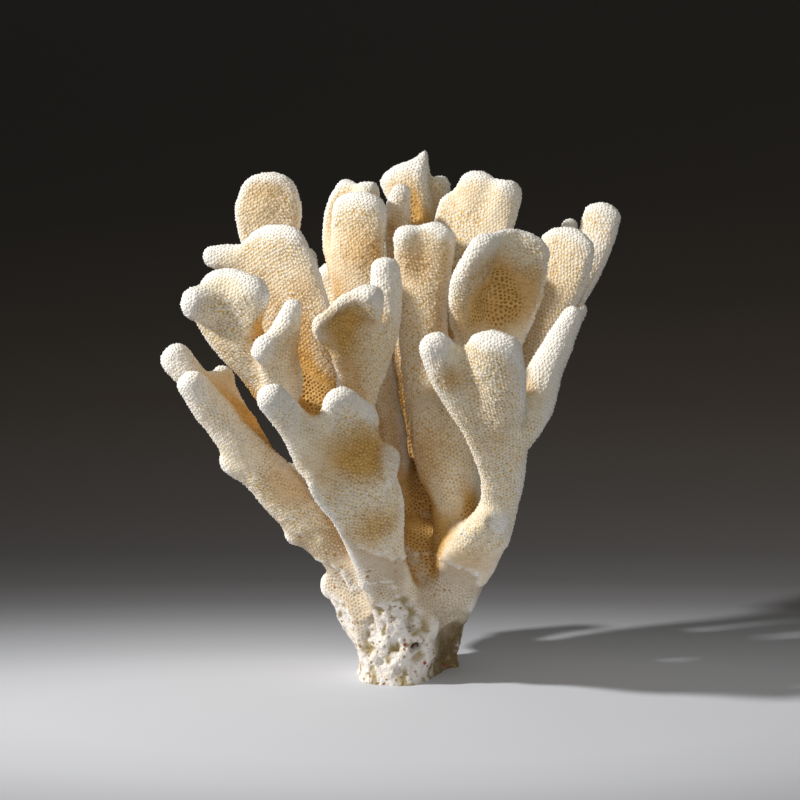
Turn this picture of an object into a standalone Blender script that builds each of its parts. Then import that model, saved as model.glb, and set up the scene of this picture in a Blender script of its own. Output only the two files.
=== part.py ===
"""A cat's paw coral skeleton, cut off flat where it grew from the reef.

One trunk carries a ring of flattened stems that fork into rounded paws. Every stem is a loft
along a smooth curve, the lofts are fused into one skin, and a thin saw kerf at each main fork
parts that skin into the trunk and its branches.
"""

import math

import bmesh
import bpy
from mathutils import Vector

MM = 0.001

# The front view that the stations are measured on: how far off the eye is, how far it looks down
# and how high above the floor it looks, in millimetres and radians
VIEW_DISTANCE = 1200.0
VIEW_TILT = math.radians(10.0)
VIEW_HEIGHT = 113.0

# The lofts: points round a ring, rings to a span, how far apart a direction is measured in spans,
# how much of the cup lies behind the middle, rings in the dome at a tip and the dome's height as a
# share of the mean half width
RING_POINTS = 16
STEPS_PER_SPAN = 5
LOOK_AHEAD = 0.1
CUP_MIDDLE = 0.4
DOME_RINGS = 5
DOME_HEIGHT = 0.85

# The skin that fuses the lofts, in millimetres, and how many triangles it is drawn with
VOXEL = 1.5
SMOOTH_FACTOR = 0.5
SMOOTH_ROUNDS = 8
SWELLING_SIZE = 13.0
SWELLING_HEIGHT = 1.2
TRIANGLES = 8200

# The rough rock at the foot, in millimetres: it is full below the fade and gone above the top
ROCK_TOP = 34.0
ROCK_FADE = 14.0
ROCK_SIZE = 7.0
ROCK_HEIGHT = 4.0

# The saw kerf at each main fork and how far it reaches past the stem, in millimetres
KERF = 0.3
KERF_MARGIN = 2.5

# The block below the floor that cuts the foot off flat, in millimetres
FLOOR_BLOCK = 120.0

# The finish
CREAM = (0.86, 0.79, 0.65)
PALE_STONE = (0.80, 0.77, 0.71)
ROUGHNESS = 0.85
CREASE_ANGLE = math.radians(40.0)

# A station is how far across, up and back its centre lies on the front view, then its half width
# and half thickness, all in millimetres. A limb starts with the compass bearing that its flat side
# faces, in degrees, where 0 is the front, 90 the right and 180 the back. Then comes its cup, how far
# its rims curl forward as a share of the half width.
TRUNK = [
    (0, 0, [(-2, -8, -9, 12, 9.5), (-2, 10, -10, 12.4, 11), (-4, 28, -15, 12, 10),
        (-8, 42, -19, 10.5, 9)]),
    (0, 0, [(-11, -8, 0, 9, 10), (-13, 8, -1, 8, 10), (-19, 20, -2, 8, 9),
        (-26.5, 31, -3, 7.2, 7.5), (-30.5, 37.5, -3, 6.4, 6)]),
    (0, 0, [(14, -8, 16, 9, 9), (15, 12, 14, 9, 10), (18, 30, 3, 12, 11), (23, 42, -3, 13, 11)]),
    (0, 0, [(5, 4, -10, 9, 8), (6.5, 20, -12, 9, 8), (7, 31, -10, 8, 7)]),
    (0, 0, [(-8, -8, -8, 10, 9), (-11, 10, -8, 10, 9), (-17, 24, -8, 9, 8), (-21, 33, -7, 8, 7)]),
    (0, 0, [(0, -8, 4, 14, 17), (1, 20, 4, 17, 18), (3, 40, 8, 20, 18), (4, 54, 13, 16, 14)]),
    (0, 0, [(-1, -8, 18, 12, 8), (0, 18, 20, 14, 9), (0, 40, 21, 16, 11)]),
]

# A branch starts with the place of its kerf along its first limb, counted in spans.
BRANCHES = {
    "front_left_hand": (1.9, [
        (14, 0.14, [(-6, 30, -15, 11, 9), (-11, 48, -25, 12.5, 8.5), (-15, 66, -36, 16, 7.2),
            (-23, 80, -44, 18, 6.6), (-28, 90, -49, 15, 6.4)]),
        (0, 0, [(-34, 84, -47, 11, 7), (-41, 95, -54, 8.2, 6.8), (-48, 104, -58, 7.4, 6.8),
            (-54, 111, -62, 7.2, 6.8)]),
        (10, 0.1, [(-24, 84, -45, 12, 6.6), (-23.5, 98, -52, 11.4, 6.8),
            (-26, 109.5, -56, 8.4, 6.4)]),
        (15, 0, [(-22, 84, -44, 11, 6.6), (-18, 97, -50, 8.4, 6.4), (-16, 104, -53, 6.8, 5.8)]),
        (0, 0, [(-14, 68, -36, 8, 6), (-9, 78.5, -45, 6, 5.8), (-6.4, 87.5, -52, 5.8, 5.4)]),
    ]),
    "front_right_hand": (4.4, [
        (0, 0.12, [(18.5, 28, -2, 10.5, 10), (21.5, 38, -7, 11.5, 10), (26, 48, -13, 13.5, 10),
            (34, 58, -20, 10.6, 9), (37.5, 67, -26, 8.6, 8.2), (39, 80, -34, 9.8, 8),
            (37, 94, -42, 12.5, 8), (34, 106, -48, 15, 7.5)]),
        (0, 0, [(28, 102, -46, 8, 7.5), (17.5, 119, -52, 8.4, 7), (12, 131.5, -55, 7.6, 6.6)]),
        (-21, 0, [(36, 101, -47, 13, 7), (36.5, 116, -54, 13.4, 7.4), (36, 124, -57, 13.4, 7.4),
            (36, 130.5, -59, 12, 7)]),
        (-28, 0, [(40, 92, -41, 9.4, 7.5), (50, 106.5, -40, 10.2, 8), (56, 121, -35, 8, 7.2),
            (62, 133, -30, 6.8, 6.4), (67.4, 144, -25, 5.2, 5)]),
        (0, 0, [(62, 132, -28, 4, 4), (69, 143, -18, 3.6, 3.6), (72, 147, -14, 2.8, 2.8)]),
        (0, 0, [(37, 57, -26, 6, 5.4), (37, 61, -33, 5.4, 4.8)]),
    ]),
    "left_outer_fork": (1.6, [
        (-10, 0.05, [(-12, 34, -6, 10, 10), (-28, 51, -9, 10.5, 9), (-44, 66, -12, 10.5, 8),
            (-55, 80, -15, 10.5, 8)]),
        (0, 0, [(-55, 80, -15, 10, 8), (-68, 94, -19, 8.6, 8), (-78, 107, -22, 8, 7.6),
            (-85.5, 116, -24, 7.2, 7)]),
        (0, 0, [(-57, 81, -13, 10, 8), (-72, 100, -4, 8, 7), (-83, 116, 0, 7, 7),
            (-92, 126.5, 2, 7.8, 7.4)]),
        (0, 0, [(-60, 80, -15, 7, 5), (-69, 83.5, -17, 5.6, 5), (-72, 85.5, -17, 4.4, 4.2)]),
        (0, 0, [(-38, 60, -11, 8, 7), (-43, 56.5, -11, 6.4, 6), (-45.5, 54.5, -11, 4.6, 4.6)]),
        (0, 0, [(-57, 82, -10, 9, 7), (-68, 104, 3, 7, 5), (-78, 119, 8, 4.5, 4)]),
        (0, 0, [(-56, 78, -10, 9.6, 6.6), (-66.4, 99, 8, 8, 5.2), (-71.5, 112, 14, 6.4, 5),
            (-73, 120.5, 16, 5.2, 4.8)]),
        (10, 0, [(-52.5, 75, -6, 8.6, 6), (-61, 90, 10, 6.4, 5), (-63.5, 101, 18, 5.8, 5)]),
    ]),
    "left_twin_paddles": (1.5, [
        (0, 0, [(-10, 50, 8, 11, 9), (-22, 66, 8, 10.5, 8.5), (-30, 82, 4, 13, 9)]),
        (-24, 0.12, [(-31, 80, 6, 10, 8), (-40.5, 95, 3, 9, 7.5), (-48.5, 107, -7, 9, 7),
            (-59.5, 123, -18, 9.8, 6.4), (-68, 136, -21, 13.8, 6.2), (-71.5, 147, -22, 16.4, 6)]),
        (-20, 0, [(-72, 145, -22, 10, 6.2), (-79, 147.5, -24, 8.4, 6.6),
            (-85, 148, -26, 7.6, 6.6)]),
        (-24, 0.1, [(-70, 144, -21, 12.8, 6.2), (-72, 156, -20, 12.2, 6.2)]),
        (-24, 0.1, [(-66, 144, -23, 11, 6.2), (-60.5, 153.5, -25, 9, 6.2)]),
        (0, 0, [(-51, 106, -14, 8, 6), (-49, 117, -24, 9, 6.4), (-52, 128, -33, 8.4, 6.6),
            (-57, 130, -38, 6.6, 6.2)]),
        (0, 0, [(-51, 122, -29, 8.6, 6.6), (-47.5, 138, -32, 6.4, 6), (-44.5, 147, -33, 5.2, 5)]),
        (-28, 0.1, [(-26, 78, 6, 10.5, 8.5), (-33, 106, 4, 14.6, 7), (-42, 136, 2, 19.2, 6.2),
            (-48.5, 158, 1, 18.8, 6), (-51.5, 172, 0, 16, 6)]),
        (0, 0, [(-55, 160, 4, 9, 6), (-66, 165.5, 8, 7, 6), (-77.5, 167, 10, 6, 5.8)]),
        (180, 0, [(-37, 124, 5, 8, 6), (-40, 140, 16, 6, 5.5), (-41, 149, 22, 5, 4.8)]),
    ]),
    "left_back_lobe": (1.3, [
        (-8, 0.12, [(-8, 56, 20, 8, 8), (-22, 90, 27, 8, 7.5), (-37, 130, 34, 9, 7),
            (-48, 160, 39, 10.4, 6.4), (-53, 173, 41, 13.4, 6.4), (-54.3, 184, 42, 15.8, 6.4),
            (-54.3, 193.5, 43, 13.4, 6.2)]),
        (160, 0.1, [(-40, 134, 36, 8, 6.4), (-42, 147, 50, 8.4, 6.4), (-43, 158, 61, 10.4, 6.4),
            (-43, 166, 67, 10, 6.4)]),
        (150, 0, [(-46, 150, 52, 6.6, 5.8), (-56, 160, 61, 6, 5.6), (-59, 167, 64, 5.6, 5.4)]),
    ]),
    "centre_front_paw": (1.2, [
        (24, 0.12, [(-9, 50, -6, 8, 8), (-18, 72, -12.5, 8, 7.2), (-21, 94, -21, 8, 7),
            (-19, 113, -27, 9.8, 7), (-18.5, 126, -33, 12, 7), (-20.5, 137, -40, 13.2, 6.8),
            (-21.5, 146, -44, 11.6, 6.4)]),
        (0, 0, [(-20, 134, -38, 9, 6.8), (-28.5, 137, -42, 8.2, 6.6), (-33, 139, -44, 6.8, 6)]),
        (0, 0, [(-17, 142, -42, 8, 6.4), (-14, 151.5, -45, 6.8, 6)]),
        (0, 0, [(-15, 120, -25, 8, 6.8), (-8.5, 141, -22, 7.8, 6.4), (-7.5, 162, -18, 7.2, 6.2)]),
    ]),
    "centre_twin_paddles": (2.2, [
        (0, 0, [(20, 42, -5, 10.5, 9), (21, 58, -6, 11, 9), (20.5, 72, -5, 11.5, 8.5),
            (17.5, 84, -5, 14.5, 8.5), (17, 96, -4, 15.5, 8.5), (17, 104, -3, 16, 8.5)]),
        (-16, 0.1, [(12, 94, -1, 11, 8.5), (8.5, 122, 5, 11.2, 7.6), (7, 146, 6, 11.8, 7.2),
            (7, 161, 5.6, 13, 6.2)]),
        (0, 0, [(5, 158, 7, 9, 6.2), (0.5, 175.5, 3.6, 6.6, 6)]),
        (-16, 0, [(10, 158, 6, 9, 6.2), (13, 175.5, 3, 9.2, 6)]),
        (14, 0.26, [(21, 94, -5, 11, 8), (29, 122, -9, 13, 6.8), (35.2, 142, -12, 17.6, 5.8),
            (36.5, 156, -15, 20.8, 5.4)]),
        (0, 0, [(26, 138, -14, 9.5, 6), (25.6, 152, -20, 9.8, 6), (30, 164, -21, 9, 5.8),
            (33, 171, -18, 8, 5.6)]),
        (6, 0.28, [(40, 150, -13, 16, 5.6), (45.5, 170.5, -12, 14.4, 5.4)]),
    ]),
    "upper_centre_lobe": (1.2, [
        (-20, 0.1, [(-2, 60, 16, 9.5, 8), (-8, 96, 17, 10, 8), (-15, 130, 18, 10.8, 7),
            (-19, 158, 20, 12.6, 6.6), (-17.8, 186, 21, 13.2, 6.4)]),
        (0, 0, [(-20, 148, 26, 9, 6), (-26.5, 174, 35, 8, 5.6), (-25, 188, 37, 7, 5.4),
            (-23, 195, 38, 5.4, 4.8)]),
        (0, 0, [(-19, 160, 29, 8, 6), (-14.5, 194, 32, 6.4, 4.8)]),
    ]),
    "top_crest": (1.1, [
        (-22, 0.1, [(1, 60, 26, 9.5, 8), (0, 100, 38, 9.5, 7.5), (1, 138, 46, 9.5, 7),
            (4, 166, 53, 8.6, 6.6), (4.6, 182, 56, 8.4, 6.4), (1.2, 193, 58, 11.2, 6.6),
            (-0.5, 198, 59, 12.8, 6)]),
        (0, 0, [(3, 190, 57, 8, 6), (6.4, 203, 59, 5, 5), (8, 208.6, 60, 3, 3)]),
        (0, 0, [(0, 154, 50, 7, 6), (-3.2, 178, 45, 7, 4.8), (-1.2, 193.5, 44, 5.4, 4.4)]),
        (0, 0, [(4, 156, 50, 8, 6.5), (13, 178, 62, 6, 5.5), (14, 196.5, 66, 5, 4.8)]),
        (180, 0, [(-2, 142, 48, 8, 6), (-7, 160, 63, 6, 5.4), (-9, 170, 70, 5, 4.8)]),
    ]),
    "upper_right_paddle": (1.1, [
        (-28, 0.1, [(12, 64, 18, 8.5, 8), (16, 104, 25, 8.5, 7.5), (21, 144, 31, 13.4, 6.4),
            (26, 174, 35, 17.6, 6.2), (28.5, 184, 36, 19, 6)]),
        (-28, 0, [(27, 182, 37, 11.6, 6), (29, 196, 37, 10, 6)]),
        (-20, 0, [(36, 180, 32, 9, 6), (41.5, 193, 31, 7.4, 6)]),
        (180, 0, [(26, 148, 34, 8, 6), (31, 164, 49, 6.4, 5.6), (33, 173, 56, 5.4, 5)]),
    ]),
    "right_outer_lobes": (1.4, [
        (-28, 0.1, [(22, 60, 12, 9, 8.5), (29, 83, 16, 8.5, 8), (40, 110, 15, 9, 7),
            (54, 138, 13, 11, 6), (62, 158, 12, 13, 5.8), (65.5, 171.5, 12, 13.6, 5.8)]),
        (-26, 0.1, [(54, 132, 18, 8, 6.2), (66.5, 152, 26, 8.4, 5.8), (75, 170, 31, 9.4, 5.6),
            (79.3, 183.5, 33, 9.4, 5.6)]),
        (0, 0, [(60, 146, 22, 6, 5.5), (65, 168, 44, 5.6, 5), (66, 180, 50, 5, 4.6)]),
    ]),
    "back_centre_hand": (1.35, [
        (180, 0.1, [(-5, 46, 26, 9, 8), (-14, 70, 40, 8, 7.4), (-17.5, 92, 48, 7.6, 7),
            (-17, 112, 54, 8.6, 7), (-13, 130, 68, 14, 7)]),
        (170, 0.1, [(-17, 124, 66, 12, 6.6), (-25, 148, 83, 11.5, 6.4), (-27, 160, 86, 10.5, 6.2)]),
        (190, 0.1, [(-8, 128, 76, 10, 6.8), (-4, 156, 87, 9, 6.4), (-3, 171, 91, 8.4, 6.2)]),
        (200, 0, [(-8, 128, 73, 8, 6.6), (6, 140, 79, 7, 6.4), (11, 147, 82, 6.4, 6)]),
    ]),
    "back_right_hand": (1.2, [
        (210, 0.14, [(11, 50, 24, 9, 8), (24, 76, 42, 10, 8), (37, 104, 56, 10, 7.5),
            (47, 130, 66, 14, 7)]),
        (210, 0.12, [(44, 126, 66, 11, 6.8), (43, 146, 73, 12, 6.4), (43, 154, 75, 11, 6.4)]),
        (210, 0, [(50, 122, 64, 8, 6.6), (60, 140, 69, 7, 6.4), (63, 147, 70, 6.4, 6.2)]),
        (210, 0, [(35, 100, 55, 8, 7), (29, 112, 68, 6, 6), (28, 118, 73, 5.2, 5.2)]),
    ]),
    "low_back_left": (1.8, [
        (150, 0.1, [(-6, 34, 20, 9, 8), (-18.5, 44, 34, 8.2, 7.4), (-29, 57, 42, 8.6, 7.2),
            (-36, 66, 46, 9.6, 6.8)]),
        (150, 0, [(-37, 64, 46, 7, 6.4), (-45, 76, 47, 6.4, 6), (-48, 81, 47, 6, 5.8)]),
        (150, 0, [(-35, 64, 46, 7.4, 6.4), (-36, 76, 50, 6.6, 6.2), (-36.5, 82, 51, 6, 5.8)]),
    ]),
    "low_back_right": (1.8, [
        (205, 0.1, [(7, 34, 20, 9, 8), (18.5, 42, 34, 8.2, 7.4), (29, 50, 41.5, 8.6, 7.2),
            (36, 56, 45, 8.4, 6.8)]),
        (205, 0, [(36, 55, 45, 7, 6.4), (40.5, 66, 47, 6.4, 6), (42, 71, 48, 6, 5.8)]),
        (205, 0, [(32, 53, 43, 6.6, 6), (30, 59, 51, 5.6, 5.4), (29.5, 63, 54, 5, 5)]),
    ]),
}


def in_model(across, up, back):
    """The point, in millimetres, that lies this far across, up and back on the tilted front view."""
    sin_tilt, cos_tilt = math.sin(VIEW_TILT), math.cos(VIEW_TILT)
    foot = -VIEW_HEIGHT * cos_tilt / (1 + VIEW_HEIGHT * sin_tilt / VIEW_DISTANCE)
    height_on_view = up + foot
    rise = height_on_view * (1 + back * cos_tilt / VIEW_DISTANCE) - back * sin_tilt
    z = rise / (cos_tilt + height_on_view * sin_tilt / VIEW_DISTANCE)
    distance = VIEW_DISTANCE + back * cos_tilt - z * sin_tilt
    return Vector((across * distance / VIEW_DISTANCE, back, z + VIEW_HEIGHT))


def smooth_between(values, step):
    """A Catmull-Rom curve through four vectors, from the second to the third."""
    before, start, end, after = values
    slope = end - before
    bend = 2 * before - 5 * start + 4 * end - after
    twist = 3 * start - before - 3 * end + after
    return start + 0.5 * (slope * step + bend * step ** 2 + twist * step ** 3)


def along(stations, span):
    """Centre, half width and half thickness at a place along a limb, counted in spans."""
    centres = [in_model(*station[:3]) for station in stations]
    halves = [Vector(station[3:]) for station in stations]
    first = min(int(span), len(stations) - 2)
    near = [min(max(first + offset, 0), len(stations) - 1) for offset in (-1, 0, 1, 2)]
    centre = smooth_between([centres[i] for i in near], span - first)
    width, thickness = smooth_between([halves[i] for i in near], span - first)
    return centre, width, thickness


def axes_at(stations, span, bearing):
    """The directions along a limb, across its flat side and out of its flat side."""
    last = len(stations) - 1
    behind, _, _ = along(stations, max(span - LOOK_AHEAD, 0))
    ahead, _, _ = along(stations, min(span + LOOK_AHEAD, last))
    forward = (ahead - behind).normalized()
    facing = Vector((math.sin(math.radians(bearing)), -math.cos(math.radians(bearing)), 0))
    across = forward.cross(facing).normalized()
    return forward, across, across.cross(forward)


def add_ring(mesh, centre, across, out, width, thickness, cup):
    """An oval ring whose two rims curl forward by the cup, a share of the half width."""
    corners = []
    for i in range(RING_POINTS):
        turn = 2 * math.pi * i / RING_POINTS
        curl = cup * width * (math.cos(turn) ** 2 - CUP_MIDDLE)
        place = centre + across * (width * math.cos(turn)) + out * (thickness * math.sin(turn) + curl)
        corners.append(mesh.verts.new(place))
    return corners


def bridge(mesh, lower, upper):
    """A band of faces between two rings."""
    for i in range(len(lower)):
        j = (i + 1) % len(lower)
        mesh.faces.new((lower[i], upper[i], upper[j], lower[j]))


def add_limb(mesh, bearing, cup, stations):
    """A closed loft through the stations, with a rounded tip and a flat root."""
    rings = []
    spans = len(stations) - 1
    for i in range(spans * STEPS_PER_SPAN + 1):
        span = i / STEPS_PER_SPAN
        centre, width, thickness = along(stations, span)
        _, across, out = axes_at(stations, span, bearing)
        rings.append(add_ring(mesh, centre, across, out, width, thickness, cup))
    centre, width, thickness = along(stations, spans)
    forward, across, out = axes_at(stations, spans, bearing)
    dome = DOME_HEIGHT * (width + thickness) / 2
    for i in range(1, DOME_RINGS + 1):
        turn = math.radians(90) * i / (DOME_RINGS + 1)
        small = math.cos(turn)
        middle = centre + forward * (dome * math.sin(turn))
        rings.append(add_ring(mesh, middle, across, out, width * small, thickness * small, cup))
    for lower, upper in zip(rings, rings[1:]):
        bridge(mesh, lower, upper)
    mesh.faces.new(rings[0])
    mesh.faces.new(rings[-1][::-1])


def object_from(mesh, name):
    """A new object that holds the bmesh, with no material yet."""
    data = bpy.data.meshes.new(name)
    mesh.to_mesh(data)
    mesh.free()
    obj = bpy.data.objects.new(name, data)
    bpy.context.scene.collection.objects.link(obj)
    return obj


def bake_modifiers(obj):
    """Puts what the modifiers make into the object's own mesh."""
    bpy.context.view_layer.update()
    graph = bpy.context.evaluated_depsgraph_get()
    made = bpy.data.meshes.new_from_object(obj.evaluated_get(graph))
    obj.modifiers.clear()
    obj.data = made


def lofted_limbs():
    """Every limb of the trunk and the branches in one object, still crossing each other."""
    mesh = bmesh.new()
    limbs = list(TRUNK)
    for _, branch in BRANCHES.values():
        limbs += branch
    for limb in limbs:
        add_limb(mesh, *limb)
    bmesh.ops.recalc_face_normals(mesh, faces=mesh.faces)
    bmesh.ops.scale(mesh, vec=(MM, MM, MM), verts=mesh.verts)
    return object_from(mesh, "skin")


def drop_hollows(skin):
    """Keeps only the outer skin, without the walls of pockets closed off inside it."""
    mesh = bmesh.new()
    mesh.from_mesh(skin.data)
    bodies = sorted(islands(mesh), key=len)
    inner = [face for body in bodies[:-1] for face in body]
    bmesh.ops.delete(mesh, geom=inner, context="FACES")
    mesh.to_mesh(skin.data)
    mesh.free()


def roughen(skin, name, size, height, where=""):
    """Raises and lowers the skin by a cloud pattern, only inside the vertex group if one is given."""
    pattern = bpy.data.textures.new(name, "CLOUDS")
    pattern.noise_scale = size * MM
    lumps = skin.modifiers.new(name, "DISPLACE")
    lumps.texture = pattern
    lumps.texture_coords = "GLOBAL"
    lumps.strength = height * MM
    lumps.mid_level = 0.5
    lumps.vertex_group = where


def fuse(skin):
    """One even skin over the crossing lofts, with soft webs in the forks and slow natural swellings."""
    remesh = skin.modifiers.new("fuse", "REMESH")
    remesh.mode = "VOXEL"
    remesh.voxel_size = VOXEL * MM
    soften = skin.modifiers.new("soften", "SMOOTH")
    soften.factor = SMOOTH_FACTOR
    soften.iterations = SMOOTH_ROUNDS
    bake_modifiers(skin)
    drop_hollows(skin)
    rock = skin.vertex_groups.new(name="rock")
    for vert in skin.data.vertices:
        share = (ROCK_TOP * MM - vert.co.z) / (ROCK_FADE * MM)
        rock.add([vert.index], min(max(share, 0), 1), "REPLACE")
    roughen(skin, "swellings", SWELLING_SIZE, SWELLING_HEIGHT)
    roughen(skin, "rock", ROCK_SIZE, ROCK_HEIGHT, "rock")
    bake_modifiers(skin)
    facets = skin.modifiers.new("facets", "DECIMATE")
    facets.ratio = TRIANGLES / sum(len(face.vertices) - 2 for face in skin.data.polygons)
    facets.use_collapse_triangulate = True
    bake_modifiers(skin)


def cutter_from(mesh, name):
    """A hidden cutting tool that holds the bmesh."""
    bmesh.ops.recalc_face_normals(mesh, faces=mesh.faces)
    bmesh.ops.scale(mesh, vec=(MM, MM, MM), verts=mesh.verts)
    cutter = object_from(mesh, name)
    cutter.hide_render = True
    cutter.display_type = "WIRE"
    return cutter


def floor_cutter():
    """The block that cuts the foot off flat."""
    mesh = bmesh.new()
    block = bmesh.ops.create_cube(mesh, size=FLOOR_BLOCK)["verts"]
    bmesh.ops.translate(mesh, vec=(0, 0, -FLOOR_BLOCK / 2), verts=block)
    return cutter_from(mesh, "floor_cutter")


def kerf_cutter(name):
    """A thin disc across the neck of a branch."""
    fork, limbs = BRANCHES[name]
    bearing, cup, stations = limbs[0]
    centre, width, thickness = along(stations, fork)
    forward, across, out = axes_at(stations, fork, bearing)
    mesh = bmesh.new()
    lower, upper = [
        add_ring(mesh, centre + forward * side * KERF / 2, across, out, width + KERF_MARGIN,
                 thickness + KERF_MARGIN, cup)
        for side in (-1, 1)
    ]
    bridge(mesh, lower, upper)
    mesh.faces.new(lower)
    mesh.faces.new(upper[::-1])
    return cutter_from(mesh, name + "_kerf")


def cut(skin, cutter):
    boolean = skin.modifiers.new(cutter.name, "BOOLEAN")
    boolean.operation = "DIFFERENCE"
    boolean.solver = "EXACT"
    boolean.object = cutter


def islands(mesh):
    """The separate bodies of a bmesh, as lists of faces."""
    for face in mesh.faces:
        face.tag = False
    found = []
    for start in mesh.faces:
        if start.tag:
            continue
        start.tag = True
        body = [start]
        for face in body:
            for edge in face.edges:
                for near in edge.link_faces:
                    if not near.tag:
                        near.tag = True
                        body.append(near)
        found.append(body)
    return found


def heart_of(limb):
    """A point in the middle of a limb, near its tip, in metres."""
    _, _, stations = limb
    return in_model(*stations[-1][:3]) * MM


def body_around(place, bodies):
    """The body whose surface comes closest to a place inside it."""
    gaps = [min((face.calc_center_median() - place).length for face in body) for body in bodies]
    return bodies[gaps.index(min(gaps))]


def copy_of(body):
    """A new bmesh with the same faces as the body."""
    mesh = bmesh.new()
    copies = {}
    for face in body:
        for vert in face.verts:
            if vert not in copies:
                copies[vert] = mesh.verts.new(vert.co)
        mesh.faces.new([copies[vert] for vert in face.verts])
    return mesh


def part_at_kerfs(skin):
    """Cuts the skin and gives each body its own object, named for the limb that lies inside it."""
    cut(skin, floor_cutter())
    for name in BRANCHES:
        cut(skin, kerf_cutter(name))
    bake_modifiers(skin)
    hearts = {"trunk": heart_of(TRUNK[0])}
    for name, (_, limbs) in BRANCHES.items():
        hearts[name] = heart_of(limbs[0])
    whole = bmesh.new()
    whole.from_mesh(skin.data)
    bodies = islands(whole)
    for name, heart in hearts.items():
        finish(object_from(copy_of(body_around(heart, bodies)), name))
    whole.free()
    bpy.data.objects.remove(skin)


def finish(piece):
    """Smooth shading with crisp cut faces, and a material of its own."""
    piece.data.shade_smooth()
    piece.data.set_sharp_from_angle(angle=CREASE_ANGLE)
    material = bpy.data.materials.new(piece.name)
    material.use_nodes = True
    shader = material.node_tree.nodes["Principled BSDF"]
    colour = PALE_STONE if piece.name == "trunk" else CREAM
    shader.inputs["Base Color"].default_value = (*colour, 1)
    shader.inputs["Roughness"].default_value = ROUGHNESS
    shader.inputs["Metallic"].default_value = 0
    piece.data.materials.append(material)


def main():
    for obj in list(bpy.data.objects):
        bpy.data.objects.remove(obj)
    skin = lofted_limbs()
    fuse(skin)
    part_at_kerfs(skin)


main()
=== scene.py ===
# %% [markdown]
# # A cat's paw coral skeleton
# The real thing is one growth of white limestone. Thousands of little cups, each the seat of one
# polyp, cover it from foot to tip, and between the cups stand thin walls with spines on them.
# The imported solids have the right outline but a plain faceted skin. This lesson lays the living
# skin over them: it fuses the solids, spreads the cups evenly, sinks each one, and then paints
# the walls, cups, worn places and the foot by masks that the mesh itself carries.
# Everything is in metres, and the camera looks along +Y.

# %% Load the solids
import math

import bmesh
import bpy
import numpy as np
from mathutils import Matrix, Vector, noise
from mathutils.bvhtree import BVHTree


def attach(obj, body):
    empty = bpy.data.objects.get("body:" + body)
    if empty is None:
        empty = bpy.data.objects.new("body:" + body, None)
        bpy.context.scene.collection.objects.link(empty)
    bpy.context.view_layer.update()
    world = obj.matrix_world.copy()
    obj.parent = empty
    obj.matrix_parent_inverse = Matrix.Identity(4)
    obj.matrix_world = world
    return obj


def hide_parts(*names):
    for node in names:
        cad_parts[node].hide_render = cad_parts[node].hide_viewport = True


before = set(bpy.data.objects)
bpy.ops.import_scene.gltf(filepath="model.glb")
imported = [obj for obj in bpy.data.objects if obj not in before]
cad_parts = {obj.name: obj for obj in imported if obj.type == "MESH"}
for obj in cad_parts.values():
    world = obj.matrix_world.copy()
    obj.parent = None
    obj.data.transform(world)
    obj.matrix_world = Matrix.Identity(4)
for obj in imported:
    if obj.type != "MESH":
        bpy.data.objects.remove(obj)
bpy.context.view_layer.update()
MM = 0.001

# %% [markdown]
# ## One skin over all the solids
# The solids are parted by saw kerfs 0.3 mm wide. A coral has no such cuts, so each branch's sawn
# face is first pushed through its kerf into the trunk. A voxel remesh then melts everything into
# one skin. Booleans would join them too, but they keep the facets, and the next step wants small
# even triangles to start from.

# %% Fuse the solids
KERF_REACH = 0.45 * MM
KERF_PUSH = 4.0
FUSE_VOXEL = 1.4 * MM
WELD = 0.01 * MM


def welded(name):
    """A solid as a bmesh, with the corners that the import split joined again."""
    mesh = bmesh.new()
    mesh.from_mesh(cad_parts[name].data)
    bmesh.ops.remove_doubles(mesh, verts=mesh.verts, dist=WELD)
    return mesh


def fused_solids():
    """One closed skin around all the solids, as a mesh."""
    trunk = welded("trunk")
    trunk_tree = BVHTree.FromBMesh(trunk)
    whole = bmesh.new()
    for name in sorted(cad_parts):
        piece = welded(name)
        if name != "trunk":
            for vert in piece.verts:
                near, _, _, gap = trunk_tree.find_nearest(vert.co)
                if gap < KERF_REACH:
                    vert.co += (near - vert.co) * KERF_PUSH
        data = bpy.data.meshes.new(name + "_welded")
        piece.to_mesh(data)
        piece.free()
        whole.from_mesh(data)
        bpy.data.meshes.remove(data)
    trunk.free()
    data = bpy.data.meshes.new("fused")
    whole.to_mesh(data)
    whole.free()
    holder = bpy.data.objects.new("fused", data)
    bpy.context.scene.collection.objects.link(holder)
    remesh = holder.modifiers.new("fuse", "REMESH")
    remesh.mode = "VOXEL"
    remesh.voxel_size = FUSE_VOXEL
    bpy.context.view_layer.update()
    melted = holder.evaluated_get(bpy.context.evaluated_depsgraph_get())
    fused = bpy.data.meshes.new_from_object(melted)
    bpy.data.objects.remove(holder)
    return fused


# %% Keep the outer skin
def triangles_of(data):
    """The mesh's points and triangles as arrays."""
    data.calc_loop_triangles()
    points = np.empty(len(data.vertices) * 3)
    data.vertices.foreach_get("co", points)
    faces = np.empty(len(data.loop_triangles) * 3, np.int32)
    data.loop_triangles.foreach_get("vertices", faces)
    return points.reshape(-1, 3), faces.reshape(-1, 3).astype(np.int64)


def largest_body(points, faces):
    """Only the outer skin, without the walls of pockets closed off inside it."""
    label = np.arange(len(points))
    while True:
        least = label.copy()
        lowest = label[faces].min(axis=1)
        for corner in range(3):
            np.minimum.at(least, faces[:, corner], lowest)
        least = least[least]
        if np.array_equal(least, label):
            break
        label = least
    names, counts = np.unique(label[faces[:, 0]], return_counts=True)
    faces = faces[label[faces[:, 0]] == names[counts.argmax()]]
    used, renamed = np.unique(faces, return_inverse=True)
    return points[used], renamed.reshape(-1, 3)


points, faces = largest_body(*triangles_of(fused_solids()))
print("fused skin:", len(points), "points,", len(faces), "triangles")

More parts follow.
